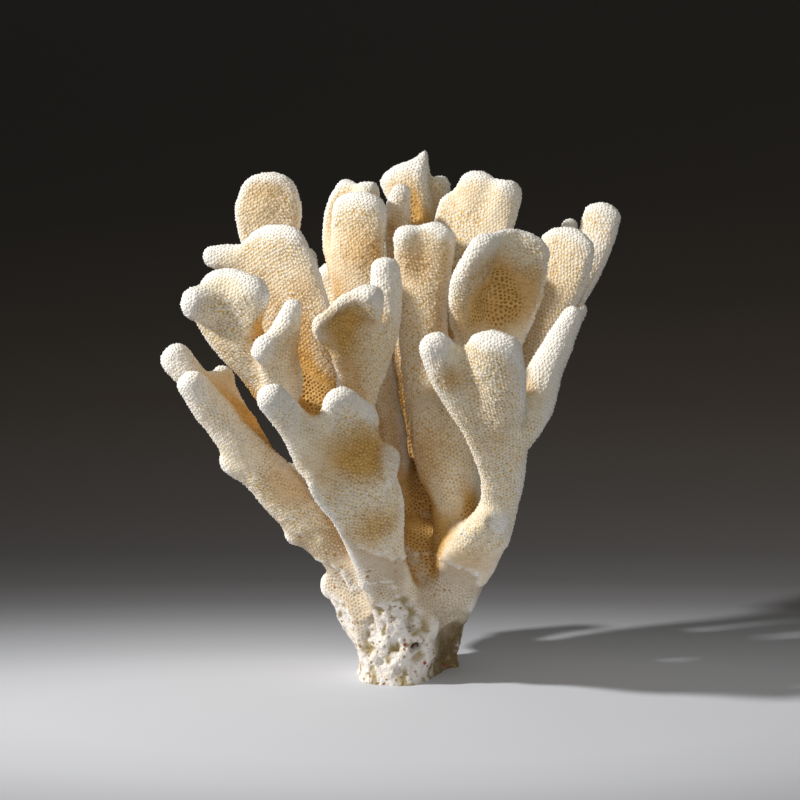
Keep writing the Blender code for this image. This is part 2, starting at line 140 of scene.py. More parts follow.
# %% [markdown]
# ## Smooth it without shrinking it
# Plain smoothing pulls every tip inwards. Here each step that smooths is followed by one that
# swells a little more than it shrank, so the facets go and the finger tips stay.

# %% Soften the facets
SHRINK = 0.55
SWELL = -0.57
SOFTEN_ROUNDS = 26


def edge_table(faces, count):
    """Each edge once: its two ends, the two points opposite it, and its two faces."""
    start = faces.ravel()
    end = faces[:, [1, 2, 0]].ravel()
    opposite = faces[:, [2, 0, 1]].ravel()
    key = np.minimum(start, end) * count + np.maximum(start, end)
    order = np.argsort(key, kind="stable")
    pair = order.reshape(-1, 2)
    one, two = pair[:, 0], pair[:, 1]
    assert (key[one] == key[two]).all(), "the skin isn't closed"
    return start[one], end[one], opposite[one], opposite[two], one // 3, two // 3


def summed(index, values, count):
    """The sum of the values that share an index, for each column."""
    return np.stack([np.bincount(index, column, count) for column in values.T], axis=1)


def neighbour_mean(values, edge_a, edge_b):
    """For each point, the mean of its neighbours' values."""
    count = len(values)
    total = summed(edge_a, values[edge_b], count) + summed(edge_b, values[edge_a], count)
    touching = np.bincount(edge_a, minlength=count) + np.bincount(edge_b, minlength=count)
    return total / touching[:, None]


def softened(points, faces, rounds):
    edge_a, edge_b = edge_table(faces, len(points))[:2]
    for _ in range(rounds):
        for step in (SHRINK, SWELL):
            points = points + step * (neighbour_mean(points, edge_a, edge_b) - points)
    return points


def normals_of(points, faces):
    """Area-weighted normals at the points."""
    corner = points[faces]
    cross = np.cross(corner[:, 1] - corner[:, 0], corner[:, 2] - corner[:, 0])
    total = sum(summed(faces[:, i], cross, len(points)) for i in range(3))
    return total / np.linalg.norm(total, axis=1)[:, None]


points = softened(points, faces, SOFTEN_ROUNDS)
smooth_tree = BVHTree.FromPolygons(points.tolist(), faces.tolist())
print("softened, box", points.min(axis=0), points.max(axis=0))

# %% [markdown]
# ## Spread the cups evenly
# Polyps grow at an even distance from each other, which packs them in crooked rows like honeycomb.
# Even triangles pack their corners in just that way, so every corner can become one cup. Each round
# below splits the long edges, collapses the short ones, flips edges so that most corners have six
# neighbours, and lets every corner slide to the middle of them. All edges that don't touch each
# other are done at once, which keeps it to array work that takes seconds. A last random nudge
# keeps the rows crooked.

# %% Even triangles
CUP_SPACING = 1.52 * MM
LONGEST = CUP_SPACING * 4 / 3
SHORTEST = CUP_SPACING * 4 / 5
EVEN_ROUNDS = 14
FLIPS_PER_ROUND = 4
SLIDE = 0.6
CROOKED = 0.15 * CUP_SPACING
BEST_VALENCE = 6
LEAST_VALENCE = 4
MOST_AT_BOTH = 14
STILL_FACING = 0.1
TIE_BREAK = 0.9
SEED = 7


def lengths_of(points, edge_a, edge_b):
    return np.linalg.norm(points[edge_a] - points[edge_b], axis=1)


def split_long(points, faces):
    """A new corner in the middle of each edge that is too long."""
    edge_a, edge_b, side_c, side_d, face_1, face_2 = edge_table(faces, len(points))
    length = lengths_of(points, edge_a, edge_b)
    score = np.where(length > LONGEST, -length, 0)
    best = np.zeros(len(faces))
    np.minimum.at(best, face_1, score)
    np.minimum.at(best, face_2, score)
    chosen = np.flatnonzero((score < 0) & (score == best[face_1]) & (score == best[face_2]))
    _, first = np.unique(face_1[chosen], return_index=True)
    chosen = chosen[first]
    middle = len(points) + np.arange(len(chosen))
    points = np.vstack([points, (points[edge_a[chosen]] + points[edge_b[chosen]]) / 2])
    a, b, c, d = edge_a[chosen], edge_b[chosen], side_c[chosen], side_d[chosen]
    faces = faces.copy()
    faces[face_1[chosen]] = np.stack([a, middle, c], axis=1)
    faces[face_2[chosen]] = np.stack([b, middle, d], axis=1)
    extra = [np.stack([middle, b, c], axis=1), np.stack([middle, a, d], axis=1)]
    return points, np.vstack([faces] + extra)


# %% Collapse the short edges
def lone_edges(score, ends, edge_a, edge_b, count):
    """The edges with the lowest score among all that touch or neighbour their ends."""
    least = np.full(count, np.inf)
    for end in ends:
        np.minimum.at(least, end, score)
    wide = least.copy()
    np.minimum.at(wide, edge_a, least[edge_b])
    np.minimum.at(wide, edge_b, least[edge_a])
    lone = np.isfinite(score)
    for end in ends:
        lone &= score <= wide[end]
    return np.flatnonzero(lone)


def shared_neighbours(edges, edge_a, edge_b, count):
    """How many corners touch both ends of each of these edges."""
    start = np.concatenate([edge_a, edge_b])
    end = np.concatenate([edge_b, edge_a])
    order = np.argsort(start, kind="stable")
    start, end = start[order], end[order]
    first = np.searchsorted(start, np.arange(count + 1))
    keys = np.sort(start * count + end)
    a, b = edge_a[edges], edge_b[edges]
    size = first[a + 1] - first[a]
    row = np.repeat(np.arange(len(edges)), size)
    step = np.arange(size.sum()) - np.repeat(np.cumsum(size) - size, size)
    near = end[first[a][row] + step]
    wanted = b[row] * count + near
    place = np.minimum(np.searchsorted(keys, wanted), len(keys) - 1)
    return np.bincount(row, keys[place] == wanted, len(edges)).astype(int)


def collapse_short(points, faces, chance):
    """Joins the two ends of each edge that is too short."""
    count = len(points)
    edge_a, edge_b, side_c, side_d, face_1, face_2 = edge_table(faces, count)
    length = lengths_of(points, edge_a, edge_b)
    valence = np.bincount(faces.ravel(), minlength=count)
    able = (valence[side_c] > LEAST_VALENCE) & (valence[side_d] > LEAST_VALENCE)
    able &= valence[edge_a] + valence[edge_b] < MOST_AT_BOTH
    short = np.flatnonzero((length < SHORTEST) & able)
    short = short[shared_neighbours(short, edge_a, edge_b, count) == 2]
    score = np.full(len(edge_a), np.inf)
    score[short] = length[short] + chance.random(len(short)) * SHORTEST / 1000
    lone = lone_edges(score, (edge_a, edge_b), edge_a, edge_b, count)
    points = points.copy()
    points[edge_a[lone]] = (points[edge_a[lone]] + points[edge_b[lone]]) / 2
    renamed = np.arange(count)
    renamed[edge_b[lone]] = edge_a[lone]
    keep = np.ones(len(faces), bool)
    keep[face_1[lone]] = False
    keep[face_2[lone]] = False
    faces = renamed[faces[keep]]
    used, faces = np.unique(faces, return_inverse=True)
    return points[used], faces.reshape(-1, 3)


# %% Flip and slide
def flip_edges(points, faces, chance):
    """Turns edges where that brings their four corners nearer to six neighbours each."""
    count = len(points)
    a, b, c, d, face_1, face_2 = edge_table(faces, count)
    off = np.bincount(faces.ravel(), minlength=count) - BEST_VALENCE
    before = off[a] ** 2 + off[b] ** 2 + off[c] ** 2 + off[d] ** 2
    after = (off[a] - 1) ** 2 + (off[b] - 1) ** 2 + (off[c] + 1) ** 2 + (off[d] + 1) ** 2
    gain = before - after
    able = np.flatnonzero((gain > 0) & (off[a] > -2) & (off[b] > -2) & (c != d))
    keys = np.sort(np.minimum(a, b) * count + np.maximum(a, b))
    wanted = np.minimum(c[able], d[able]) * count + np.maximum(c[able], d[able])
    place = np.minimum(np.searchsorted(keys, wanted), len(keys) - 1)
    able = able[keys[place] != wanted]
    pa, pb, pc, pd = points[a[able]], points[b[able]], points[c[able]], points[d[able]]
    old = np.cross(pb - pa, pc - pa) + np.cross(pa - pb, pd - pb)
    new_1 = np.cross(pd - pa, pc - pa)
    new_2 = np.cross(pc - pb, pd - pb)
    facing = np.minimum((new_1 * old).sum(1), (new_2 * old).sum(1))
    able = able[facing > STILL_FACING * (old * old).sum(1)]
    score = np.full(len(a), np.inf)
    score[able] = -gain[able] + chance.random(len(able)) * TIE_BREAK
    least = np.full(count, np.inf)
    for end in (a, b, c, d):
        np.minimum.at(least, end, score)
    lone = np.isfinite(score)
    for end in (a, b, c, d):
        lone &= score <= least[end]
    lone = np.flatnonzero(lone)
    faces = faces.copy()
    faces[face_1[lone]] = np.stack([a[lone], d[lone], c[lone]], axis=1)
    faces[face_2[lone]] = np.stack([b[lone], c[lone], d[lone]], axis=1)
    return faces


def slid(points, faces):
    """Every corner moved along the skin towards the middle of its neighbours."""
    edge_a, edge_b = edge_table(faces, len(points))[:2]
    normals = normals_of(points, faces)
    step = neighbour_mean(points, edge_a, edge_b) - points
    step -= normals * (step * normals).sum(axis=1)[:, None]
    return points + SLIDE * step


def on_tree(points, tree):
    """The nearest place on the smooth skin for each point."""
    return np.array([tree.find_nearest(point)[0] for point in points.tolist()])


# %% Even out the skin
chance = np.random.default_rng(SEED)
for _ in range(EVEN_ROUNDS):
    points, faces = split_long(points, faces)
    points, faces = collapse_short(points, faces, chance)
    for _ in range(FLIPS_PER_ROUND):
        faces = flip_edges(points, faces, chance)
    points = slid(slid(points, faces), faces)
points = on_tree(points + CROOKED * chance.normal(size=points.shape), smooth_tree)
edge_a, edge_b = edge_table(faces, len(points))[:2]
spacing = lengths_of(points, edge_a, edge_b) / MM
print("cups:", len(points), "spacing %.2f mm, spread %.2f" % (spacing.mean(), spacing.std()))

# %% [markdown]
# ## Masks that follow how the colony lived
# The real skin isn't the same all over. Finger tips and rims grow fastest, so they are white and rough
# with fine grains. Between the branches and in the hollow of each paddle the amber tan is painted
# shade, warm like light that bounced between the branches, with a little random tone mixed in. The
# foot was bored and crusted until it became rock, and low outer sides were worn smooth. Each of these
# is worked out once for every cup, as a number from 0 to 1, from the shape itself, so it lies right
# from any side. A few listed spots that follow no such rule are then added: amber ones that are
# painted shade and pale ones that are painted light.

# %% Tips and rims
WIDE_ROUNDS = 60
TIP_FROM = 1.4 * MM
TIP_FULL = 3.4 * MM
TIP_OUTWARD = 1.2 * MM
ROOT = np.array([0, 0, 12 * MM])


def at(x, y, z):
    """A place given in millimetres."""
    return Vector((x, y, z)) * MM


def ramp(value, low, high):
    """0 below low, 1 above high and a soft rise between them."""
    share = np.clip((value - low) / (high - low), 0, 1)
    return share * share * (3 - 2 * share)


def blurred(values, edge_a, edge_b, rounds):
    """Values evened out over the neighbours."""
    values = values.reshape(len(values), -1)
    for _ in range(rounds):
        values = (values + neighbour_mean(values, edge_a, edge_b)) / 2
    return values


def noise_at(points, size, seed):
    """A cloud pattern with soft lumps of this size, from -1 to 1."""
    shift = Vector((seed * 17.3, seed * 5.1, -seed * 9.7))
    return np.array([noise.noise(Vector(point) + shift) for point in (points / size).tolist()])


normals = normals_of(points, faces)
wide = blurred(points, edge_a, edge_b, WIDE_ROUNDS)
bulge = ((points - wide) * normals).sum(axis=1)
outward = (points - ROOT) / np.linalg.norm(points - ROOT, axis=1)[:, None]
facing_out = (normals * outward).sum(axis=1)
tip = ramp(bulge + TIP_OUTWARD * facing_out, TIP_FROM, TIP_FULL)
print("bulge", (np.percentile(bulge, [1, 25, 50, 75, 90, 99]) / MM).round(2))
print("tip share %.2f" % tip.mean())

# %% Shelter and painted amber shade
HOLLOW_FROM = -0.5 * MM
HOLLOW_FULL = 1.6 * MM
SHADE_TAN_FROM, SHADE_TAN_FULL = 0.14, 0.52
BOWL_FROM, BOWL_FULL = 0.35, 0.6
CLOUD_SIZE, CLOUDLET_SIZE = 26 * MM, 9 * MM
SPOT_SPREAD, SPOT_WOBBLE = 1.2, 0.35
# Each painted shade spot has its place, its reach, how much amber shade it paints and how far its cups
# are sunken
PAINTED_SHADE_SPOTS = (
    (at(41, -22, 158), 23 * MM, 1.0, 1.0),
    (at(22, -22, 150), 10 * MM, 0.5, 0.0),
    (at(-24, -51, 148), 19 * MM, 1.0, 0.4),
    (at(-12, -48, 128), 12 * MM, 0.9, 0.2),
    (at(-16, 12, 172), 15 * MM, 0.6, 0.0),
    (at(-54, 36, 186), 17 * MM, 0.3, 0.0),
    (at(-20, -55, 101), 20 * MM, 1.0, 0.2),
    (at(-13, -38, 70), 14 * MM, 0.8, 0.5),
    (at(6, -8, 58), 19 * MM, 1.0, 0.3),
    (at(26, -22, 50), 15 * MM, 0.6, 0.2),
    (at(31, -52, 106), 17 * MM, 0.3, 0.1),
    (at(6, -14, 90), 18 * MM, 0.8, 0.1),
    (at(17, -58, 131), 7 * MM, 0.8, 0.3),
    (at(34, -52, 108), 9 * MM, 0.5, 0.2),
    (at(6, -4, 168), 10 * MM, 0.4, 0.0),
    (at(-46, -20, 80), 13 * MM, 0.5, 0.9),
    (at(-38, -8, 118), 15 * MM, 0.8, 0.3),
    (at(-30, 40, 120), 22 * MM, 0.6, 0.6),
    (at(30, 62, 110), 20 * MM, 0.6, 0.4),
)
# Each painted light spot has its place and its reach
PAINTED_LIGHT_SPOTS = (
    (at(76, 25, 176), 22 * MM),
    (at(0, 26, 200), 16 * MM),
    (at(48, 10, 196), 12 * MM),
)
SHELTER_RAYS = 10
SHELTER_REACH = 45 * MM
LIFT = 0.3 * MM


def sheltered_share(points, normals, tree):
    """The share of the sky over each point that other branches close off."""
    turns = np.arange(SHELTER_RAYS) * math.pi * (3 - math.sqrt(5))
    rise = np.sqrt((np.arange(SHELTER_RAYS) + 0.5) / SHELTER_RAYS)
    ring = np.sqrt(1 - rise ** 2)
    side = np.cross(normals, np.where(np.abs(normals[:, 2:]) < 0.9, [[0, 0, 1.0]], [[1.0, 0, 0]]))
    side /= np.linalg.norm(side, axis=1)[:, None]
    other = np.cross(normals, side)
    start = points + normals * LIFT
    share = np.zeros(len(points))
    for turn, up, out in zip(turns, rise, ring):
        ways = normals * up + side * (out * math.cos(turn)) + other * (out * math.sin(turn))
        for i, (place, way) in enumerate(zip(start.tolist(), ways.tolist())):
            _, _, _, gap = tree.ray_cast(place, way, SHELTER_REACH)
            if gap is not None:
                share[i] += 1 - gap / SHELTER_REACH
    return share / SHELTER_RAYS


def away_from(place, points):
    """How far each point is from a place."""
    return np.linalg.norm(points - np.array(place), axis=1)


def spot(place, reach):
    """A round patch with a cloudy edge, 1 in its middle."""
    return ramp(reach * (SPOT_SPREAD + SPOT_WOBBLE * cloud) - away_from(place, points), 0, reach)


shelter = sheltered_share(points, normals, smooth_tree)
shelter = blurred(shelter, edge_a, edge_b, 4)[:, 0]
hollow = ramp(-bulge, HOLLOW_FROM, HOLLOW_FULL)
cloud = noise_at(points, CLOUD_SIZE, 11) + 0.4 * noise_at(points, CLOUDLET_SIZE, 12)
patch, sunken = np.zeros(len(points)), np.zeros(len(points))
for place, reach, tan, depth in PAINTED_SHADE_SPOTS:
    near = spot(place, reach)
    patch = np.maximum(patch, tan * near)
    sunken = np.maximum(sunken, depth * near)
painted_light = np.zeros(len(points))
for place, reach in PAINTED_LIGHT_SPOTS:
    painted_light = np.maximum(painted_light, spot(place, reach))
# Under the painted shade spots the white of the tips is taken away, and the painted light spots whiten
# the places there that face outwards.
tip = np.maximum(tip * (1 - 0.9 * patch), 0.95 * painted_light * ramp(facing_out, -0.3, 0.2))
# The amber mask is painted shade: it rises where other branches close off the sky, in hollows and in
# the painted shade spots, has a little random tone in it, and falls under the painted light spots and
# at the tips.
amber = 1.3 * ramp(shelter, SHADE_TAN_FROM, SHADE_TAN_FULL) + 0.35 * hollow + 0.3 * cloud + patch - 0.3 * painted_light
amber = np.clip(amber, 0, 1) * (1 - 0.75 * tip)
bowl = shelter + 0.3 * hollow + 0.25 * cloud + 0.4 * sunken - 0.5 * tip
bowl = ramp(bowl, BOWL_FROM, BOWL_FULL)
print("shelter", np.percentile(shelter, [5, 50, 95]).round(2))
print("amber %.2f, bowls %.2f" % (amber.mean(), bowl.mean()))

# %% Rock foot, lapped sheets and worn sides
ROCK_TOP = 22 * MM
ROCK_FADE = 6 * MM
ROCK_WANDER = 8 * MM
# Each crust has its place, its reach and how far it lifts the top of the rock
CRUSTS = (
    (at(-3, -26, 28), 14 * MM, 21 * MM),
    (at(-30, -8, 32), 10 * MM, 16 * MM),
    (at(-16, 22, 24), 14 * MM, 12 * MM),
)
LAP_LEAN = np.array([0.37, 0.1, 1.0])
LAP_STEP = 17 * MM
LAP_WANDER = 10 * MM
LAP_TOP = 76 * MM
LAP_FADE = 30 * MM
OPEN_SHELTER = 0.62
LIP_WIDTH = 0.085
NET_TOP = 66 * MM
NET_FADE = 26 * MM
NET_WANDER = 14 * MM
WORN_TOP = 62 * MM
WORN_FADE = 40 * MM

rock_top = ROCK_TOP + noise_at(points, 11 * MM, 1) * ROCK_WANDER
for place, reach, lift in CRUSTS:
    rock_top += lift * ramp(reach * 1.5 - away_from(place, points), 0, reach)
rock = ramp(rock_top - points[:, 2], 0, ROCK_FADE)

wander = noise_at(points, 24 * MM, 8) + 0.3 * noise_at(points, 8 * MM, 9)
wander += 0.1 * noise_at(points, 3 * MM, 10)
lap = (points @ LAP_LEAN + LAP_WANDER * wander) / LAP_STEP
sheet = np.floor(lap)
above_edge = lap - sheet
outside = ramp(OPEN_SHELTER - shelter, 0, 0.3)
lapped = ramp(LAP_TOP - points[:, 2], 0, LAP_FADE) * outside
low = ramp(WORN_TOP - sheet * LAP_STEP, 0, WORN_FADE)
under = np.clip(-normals[:, 2], 0, 1)
patches = noise_at(points, 15 * MM, 2) + 0.4 * noise_at(points, 5 * MM, 3)
worn = ramp(0.75 * low * outside + 0.55 * under * lapped + 0.3 * patches, 0.4, 0.6)
unbroken = ramp(noise_at(points, 30 * MM, 16), -0.15, 0.05)
lip = ramp(LIP_WIDTH - above_edge, 0, 0.05) * lapped * (1 - rock) * unbroken
bowl = np.maximum(bowl, ramp(NET_TOP + NET_WANDER * cloud - points[:, 2], 0, NET_FADE) * outside)
calm = ramp(noise_at(points, 30 * MM, 14) + 0.4 * noise_at(points, 8 * MM, 15), 0.05, 0.4) * (1 - tip)
chance_of_cup = chance.random(len(points))
print("rock share %.2f, worn share %.2f" % (rock.mean(), worn.mean()))

# %% [markdown]
# ## Raise the hoods and sink the bowls
# A new corner goes into the middle of every triangle, and each edge is turned so that it runs from
# middle to middle. Each old corner is then a cup ringed by six new corners. On open faces the hood
# hides its cup, so the old corner is raised into a grain that leans towards the branch's tip, and
# just above each grain the ring dips into a golden pit. In shelter the hoods stayed low, so there
# the old corner sinks into a bowl and the ring becomes its wall. This is real relief: it gives the
# fuzzy outline of the real branches, which a bump map can't. The pads of the paws that face the
# front are also dished, because they grew slower than their rims.

# %% Cup relief
SKIN_DROP = 0.42 * MM
GRAIN_RISE = 0.60 * MM
GRAIN_LEAN = 0.30 * MM
BOWL_DEPTH = 0.52 * MM
HOOD_RISE = 0.30 * MM
PIT_DEPTH = 0.30 * MM
UNEVEN = 0.10 * MM
SWELL_SIZE = 11 * MM
SWELL_DEPTH = 0.9 * MM
# Each hollow pad has its place, its reach and its depth
HOLLOW_PADS = (
    (at(-24, -51, 148), 16 * MM, 3.8 * MM),
    (at(38, -20, 160), 22 * MM, 3.6 * MM),
    (at(-21, -58, 108), 13 * MM, 1.8 * MM),
    (at(5, -8, 172), 8 * MM, 1.6 * MM),
    (at(37, -55, 140), 8 * MM, 1.6 * MM),
)
PAD_EDGE = 0.65
CALM_SHALLOW = 0.5
WORN_SHALLOW = 0.4


def at_middles(values, faces):
    """The mean of the three corners' values, for each triangle."""
    return values[faces].mean(axis=1)


def joined(cup_values, faces):
    """Values for the cups followed by values for the wall tops."""
    return np.concatenate([cup_values, at_middles(cup_values, faces)])


# %% Cups and the walls between them
face_1, face_2 = edge_table(faces, len(points))[4:]
cups = len(points)
top_1, top_2 = cups + face_1, cups + face_2
skin_faces = [np.stack([edge_a, top_2, top_1], axis=1), np.stack([edge_b, top_1, top_2], axis=1)]
skin_faces = np.vstack(skin_faces)
skin_points = joined(points, faces)
skin_normals = joined(normals, faces)
skin_normals /= np.linalg.norm(skin_normals, axis=1)[:, None]
growth = skin_points[cups:] - ROOT
growth /= np.linalg.norm(growth, axis=1)[:, None]
towards = skin_points[cups:, None, :] - points[faces]
towards /= np.linalg.norm(towards, axis=2)[:, :, None]
hood = ramp((towards * growth[:, None, :]).sum(axis=2).max(axis=1), 0.72, 0.98)
print("skin:", len(skin_points), "points,", len(skin_faces), "triangles,", "hoods %.2f" % hood.mean())

# %% Raise and sink
skin_tip, skin_amber, skin_bowl, skin_worn, skin_rock, skin_lip, skin_calm, skin_lapped, skin_above = [
    joined(mask, faces) for mask in (tip, amber, bowl, worn, rock, lip, calm, lapped, above_edge)
]
skin_cup = np.concatenate([np.ones(cups), np.zeros(len(faces))])
skin_chance = joined(chance_of_cup, faces)
living = (1 - WORN_SHALLOW * skin_worn) * (1 - skin_rock) * (1 - CALM_SHALLOW * skin_calm)
grown = living[:cups] * (0.4 + 0.8 * chance_of_cup) * (1 - 0.4 * tip)
hood = hood * (0.5 + 0.5 * chance.random(len(faces)))
skin_hood = np.concatenate([np.zeros(cups), hood * skin_bowl[cups:]])
skin_pit = np.concatenate([np.zeros(cups), hood * (1 - skin_bowl[cups:])])
uneven = UNEVEN * (chance.random(len(faces)) * 2 - 1)
offset = joined(noise_at(points, SWELL_SIZE, 17) - 1, faces) * SWELL_DEPTH / 2 - SKIN_DROP
offset[:cups] += grown * (GRAIN_RISE * (1 - bowl) - BOWL_DEPTH * bowl)
offset[cups:] += living[cups:] * (HOOD_RISE * skin_hood[cups:] - PIT_DEPTH * skin_pit[cups:] + uneven)
print("relief of the cups from %.2f to %.2f mm" % (offset.min() / MM, offset.max() / MM))
facing_front = ramp(-skin_normals[:, 1], 0.1, 0.6)
for place, reach, depth in HOLLOW_PADS:
    offset -= depth * facing_front * ramp(reach - away_from(place, skin_points), 0, reach * PAD_EDGE)
lean = points - ROOT
lean -= normals * (lean * normals).sum(axis=1)[:, None]
lean /= np.linalg.norm(lean, axis=1)[:, None] + 1e-9
skin_points[:cups] += lean * (GRAIN_LEAN * grown * (1 - bowl))[:, None]

# %% [markdown]
# ## Roughen the foot
# The foot is reef rock: lumps, hollows between thin ridges, and the holes of boring clams and worms.
# The relief is noise that only cuts inwards, so the foot keeps the outline of its solid. The holes are
# put in one by one where they show most. Above the rock the skin grew in sheets, each lapped over the
# one below it, and every sheet is thickest at its lower edge. The cut under the foot stays flat,
# because the coral stands on it.

# %% Rock relief
CUT_HEIGHT = 0.9 * MM
LUMPS = ((9.0 * MM, 1.4 * MM), (2.6 * MM, 0.8 * MM), (1.4 * MM, 0.5 * MM))
HOLLOWS = ((8.0 * MM, 1.3 * MM), (3.4 * MM, 0.6 * MM))
HOLLOW_WIDTH = 0.5
LAP_HEIGHT = 0.9 * MM
LIP_RISE = 0.25 * MM
# Each bored hole has its place, its radius and its depth
BORE_HOLES = (
    (at(5.0, -20.0, 15.0), 2.0 * MM, 3.4 * MM),
    (at(2.5, -21.0, 24.0), 1.5 * MM, 2.2 * MM),
    (at(-12.0, -20.0, 9.0), 1.2 * MM, 1.8 * MM),
    (at(-3.0, -22.0, 6.0), 1.3 * MM, 1.8 * MM),
    (at(20.0, -6.0, 11.0), 1.8 * MM, 2.6 * MM),
    (at(18.0, 16.0, 9.0), 2.2 * MM, 3.0 * MM),
    (at(-16.0, 14.0, 14.0), 2.0 * MM, 2.8 * MM),
    (at(2.0, 26.0, 12.0), 2.2 * MM, 3.0 * MM),
)

lumps = np.zeros(len(skin_points))
rocky = np.flatnonzero(skin_rock > 0)
for seed, (size, height) in enumerate(LUMPS, 4):
    lumps[rocky] -= height * (0.5 - 0.5 * noise_at(skin_points[rocky], size, seed))
sunk = np.zeros(len(skin_points))
for seed, (size, depth) in enumerate(HOLLOWS, 20):
    sink = ramp(noise_at(skin_points[rocky], size, seed), 0.05, HOLLOW_WIDTH)
    lumps[rocky] -= depth * sink
    sunk[rocky] += sink / len(HOLLOWS)
for place, radius, depth in BORE_HOLES:
    mouth = skin_points[away_from(place, skin_points).argmin()]
    lumps -= depth * ramp(radius * 1.3 - away_from(mouth, skin_points), 0, radius * 0.6)
lumps *= 0.3 + 0.7 * ramp(skin_points[:, 2], 1 * MM, 6 * MM)
offset += lumps * skin_rock + LIP_RISE * skin_lip
offset -= LAP_HEIGHT * (1 - (1 - skin_above) ** 1.5) * skin_lapped * (1 - skin_rock)
hole = ramp(-lumps, 3.2 * MM, 4.6 * MM) * skin_rock

on_cut = (skin_points[:, 2] < CUT_HEIGHT) & (skin_normals[:, 2] < -0.6)
skin_points = skin_points + skin_normals * np.where(on_cut, 0, offset)[:, None]
skin_points[on_cut, 2] = 0
skin_points[:, 2] = np.maximum(skin_points[:, 2], 0)
skin_normals = normals_of(skin_points, skin_faces)
print("relief with the foot from %.2f to %.2f mm" % (offset.min() / MM, offset.max() / MM))

# %% [markdown]
# ## One piece for each solid
# The skin is parted again where the solids are, so that each piece stands for its own solid. The
# part line follows the wall tops between cups. The pieces share the normals of the whole skin, and
# that hides the line. Each opening is closed by a fan of triangles inside.

# %% Part the skin
FAN_DEPTH = 1.5 * MM
MASKS = {
    "cup": skin_cup, "tip": skin_tip, "amber": skin_amber, "worn": skin_worn, "rock": skin_rock,
    "lip": skin_lip, "chance": skin_chance, "hole": hole, "hood": skin_hood, "calm": skin_calm,
    "sunk": sunk, "bowl": skin_bowl, "pit": skin_pit,
}


def nearest_solids(points):
    """The index of the solid whose surface is nearest to each point."""
    corners, polygons, owner = [], [], []
    for number, name in enumerate(sorted(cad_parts)):
        mesh = welded(name)
        shift = len(corners)
        corners += [tuple(vert.co) for vert in mesh.verts]
        mesh.verts.index_update()
        polygons += [[vert.index + shift for vert in face.verts] for face in mesh.faces]
        owner += [number] * len(mesh.faces)
        mesh.free()
    tree = BVHTree.FromPolygons(corners, polygons)
    return np.array([owner[tree.find_nearest(point)[2]] for point in points.tolist()])


def settled(owner, edge_a, edge_b, rounds):
    """Gives a cup that lies alone among another solid's cups to that solid."""
    for _ in range(rounds):
        votes = np.zeros((len(owner), owner.max() + 1), np.int16)
        np.add.at(votes, (edge_a, owner[edge_b]), 1)
        np.add.at(votes, (edge_b, owner[edge_a]), 1)
        votes[np.arange(len(owner)), owner] += 2
        owner = votes.argmax(axis=1)
    return owner


def closed_off(points, faces, normals):
    """Adds a fan to each opening, with its middle a little way inside."""
    start, end = faces.ravel(), faces[:, [1, 2, 0]].ravel()
    key = start * len(points) + end
    back = end * len(points) + start
    free = ~np.isin(key, back)
    rim_a, rim_b = start[free], end[free]
    label = np.arange(len(points))
    while True:
        least = np.minimum(label[rim_a], label[rim_b])
        fresh = label.copy()
        np.minimum.at(fresh, rim_a, least)
        np.minimum.at(fresh, rim_b, least)
        if np.array_equal(fresh, label):
            break
        label = fresh
    for name in np.unique(label[rim_a]):
        ring = label[rim_a] == name
        corners = np.unique(rim_a[ring])
        out = points[corners].mean(axis=0) - points.mean(axis=0)
        middle = points[corners].mean(axis=0) - out / np.linalg.norm(out) * FAN_DEPTH
        fan = np.stack([rim_b[ring], rim_a[ring], np.full(ring.sum(), len(points))], axis=1)
        points = np.vstack([points, middle])
        normals = np.vstack([normals, out / np.linalg.norm(out)])
        faces = np.vstack([faces, fan])
    return points, faces, normals


def piece_from(name, chosen):
    """The object that shows the chosen triangles of the skin."""
    used, faces = np.unique(skin_faces[chosen], return_inverse=True)
    corner_count = len(used)
    points, faces, normals = closed_off(skin_points[used], faces.reshape(-1, 3), skin_normals[used])
    data = bpy.data.meshes.new(name + "_skin")
    data.from_pydata(points.tolist(), [], faces.tolist())
    for mask, values in MASKS.items():
        layer = data.attributes.new(mask, "FLOAT", "POINT")
        column = np.zeros(len(points), np.float32)
        column[:corner_count] = values[used]
        layer.data.foreach_set("value", column)
    data.shade_smooth()
    data.normals_split_custom_set_from_vertices(normals.tolist())
    piece = bpy.data.objects.new(name + "_skin", data)
    bpy.context.scene.collection.objects.link(piece)
    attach(piece, "root")
    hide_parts(name)
    return piece


# %% Make the pieces
owner = settled(nearest_solids(points), edge_a, edge_b, 3)
face_owner = np.concatenate([owner[edge_a], owner[edge_b]])
pieces = {}
for number, name in enumerate(sorted(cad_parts)):
    pieces[name] = piece_from(name, face_owner == number)
    print(name, len(pieces[name].data.polygons), "triangles")

# %% [markdown]
# ## Node groups that both materials share
# Three effects turn up more than once: the colour of a cup and its wall, small specks, and soft
# stains. Each is a node group with named inputs, built once. They read the masks of the mesh or a
# noise in the object's own space, never the camera.

# %% Helpers for nodes
def add(tree, kind, **settings):
    """A new node with its settings."""
    node = tree.nodes.new(kind)
    for key, value in settings.items():
        setattr(node, key, value)
    return node


def feed(tree, socket, value):
    """Joins an output to a socket, or sets the socket to a plain value."""
    if isinstance(value, bpy.types.NodeSocket):
        tree.links.new(value, socket)
    elif isinstance(value, tuple) and len(value) == 3:
        socket.default_value = (*value, 1)
    else:
        socket.default_value = value


def maths(tree, operation, *values, clamp=False):
    node = add(tree, "ShaderNodeMath", operation=operation, use_clamp=clamp)
    for socket, value in zip(node.inputs, values):
        feed(tree, socket, value)
    return node.outputs[0]


def times(tree, one, other, clamp=False):
    return maths(tree, "MULTIPLY", one, other, clamp=clamp)


def line(tree, value, slope, start):
    """A straight line: the value times the slope, plus the start."""
    return maths(tree, "MULTIPLY_ADD", value, slope, start)


